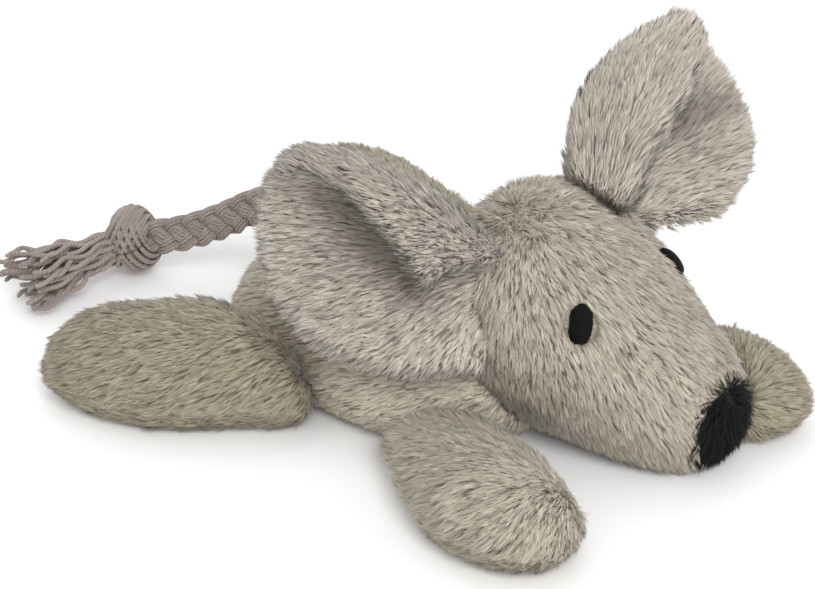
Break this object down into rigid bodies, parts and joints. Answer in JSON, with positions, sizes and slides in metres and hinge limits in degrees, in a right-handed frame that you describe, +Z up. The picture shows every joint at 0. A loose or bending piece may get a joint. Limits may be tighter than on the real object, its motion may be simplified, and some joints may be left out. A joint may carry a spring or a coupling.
{
  "type": "catnip mouse",
  "caption": "Floppy plush cat toy in the form of a mouse lying on its belly, with folded ears, spread legs and a plaited rope tail, stuffed with fibre and a pouch of dried catnip",
  "frame": {"origin": "the middle of the flat belly face, on the surface that the mouse lies on", "axes": "+X along the body from the rump to the head, +Y to the mouse's left, +Z up"},
  "size_m": [0.1787, 0.1447, 0.076],
  "materials": {
    "plush": "long-pile plush, greige, brushed lying down",
    "ear_plush": "the same plush, a little paler",
    "nose_plush": "black plush",
    "eye_thread": "black embroidery thread in satin stitch",
    "tail_cotton": "plaited cotton yarn, taupe",
    "fibre_filling": "loose polyester fibre",
    "pouch_cloth": "thin unbleached non-woven cloth",
    "dried_herb": "crumbled dried leaf"
  },
  "bodies": {
    "body": {"body_back_panel": "plush", "body_belly_panel": "plush", "body_filling": "fibre_filling", "pouch_upper_sheet": "pouch_cloth", "pouch_lower_sheet": "pouch_cloth", "dried_catnip": "dried_herb"},
    "head": {"head_left_panel": "plush", "head_right_panel": "plush", "head_filling": "fibre_filling", "nose_patch": "nose_plush", "eye_left": "eye_thread", "eye_right": "eye_thread"},
    "ear_left": {"ear_left_front_panel": "ear_plush", "ear_left_back_panel": "ear_plush"},
    "ear_right": {"ear_right_front_panel": "ear_plush", "ear_right_back_panel": "ear_plush"},
    "foreleg_left": {"foreleg_left_upper_panel": "plush", "foreleg_left_lower_panel": "plush", "foreleg_left_filling": "fibre_filling"},
    "foreleg_right": {"foreleg_right_upper_panel": "plush", "foreleg_right_lower_panel": "plush", "foreleg_right_filling": "fibre_filling"},
    "hindleg_left": {"hindleg_left_upper_panel": "plush", "hindleg_left_lower_panel": "plush", "hindleg_left_filling": "fibre_filling"},
    "hindleg_right": {"hindleg_right_upper_panel": "plush", "hindleg_right_lower_panel": "plush", "hindleg_right_filling": "fibre_filling"},
    "tail": {"tail_rope": "tail_cotton", "tail_knot": "tail_cotton", "tail_tassel": "tail_cotton"}
  },
  "joints": [
    {"name": "neck_nod", "type": "hinge", "parent": "body", "child": "head", "pos_m": [0.01, 0.008, 0.03], "axis": [0.165, -0.9863, 0], "range_deg": [0, 30]},
    {"name": "ear_left_flop", "type": "hinge", "parent": "head", "child": "ear_left", "pos_m": [0.0281, 0.03523, 0.04653], "axis": [-0.5277, -0.668, 0.5247], "range_deg": [-20, 25], "stiffness_Nm_per_rad": 0.012},
    {"name": "ear_right_flop", "type": "hinge", "parent": "head", "child": "ear_right", "pos_m": [0.03015, -0.00943, 0.04759], "axis": [0.2976, -0.2976, -0.9071], "range_deg": [-20, 25], "stiffness_Nm_per_rad": 0.012},
    {"name": "foreleg_left_swing", "type": "hinge", "parent": "body", "child": "foreleg_left", "pos_m": [0.0386, 0.02546, 0.007], "axis": [0.6798, -0.7334, 0], "range_deg": [-36, 0]},
    {"name": "foreleg_right_swing", "type": "hinge", "parent": "body", "child": "foreleg_right", "pos_m": [0.0386, -0.02546, 0.007], "axis": [-0.6798, -0.7334, 0], "range_deg": [-36, 0]},
    {"name": "hindleg_left_swing", "type": "hinge", "parent": "body", "child": "hindleg_left", "pos_m": [-0.03432, 0.03367, 0.007], "axis": [0.824, 0.5666, 0], "range_deg": [-40, 12]},
    {"name": "hindleg_right_swing", "type": "hinge", "parent": "body", "child": "hindleg_right", "pos_m": [-0.01818, -0.03917, 0.007], "axis": [-0.9956, 0.0937, 0], "range_deg": [-40, 12]},
    {"name": "tail_lift", "type": "hinge", "parent": "body", "child": "tail", "pos_m": [-0.03615, 0.00136, 0.02468], "axis": [0, 1, 0], "range_deg": [0, 60]}
  ]
}
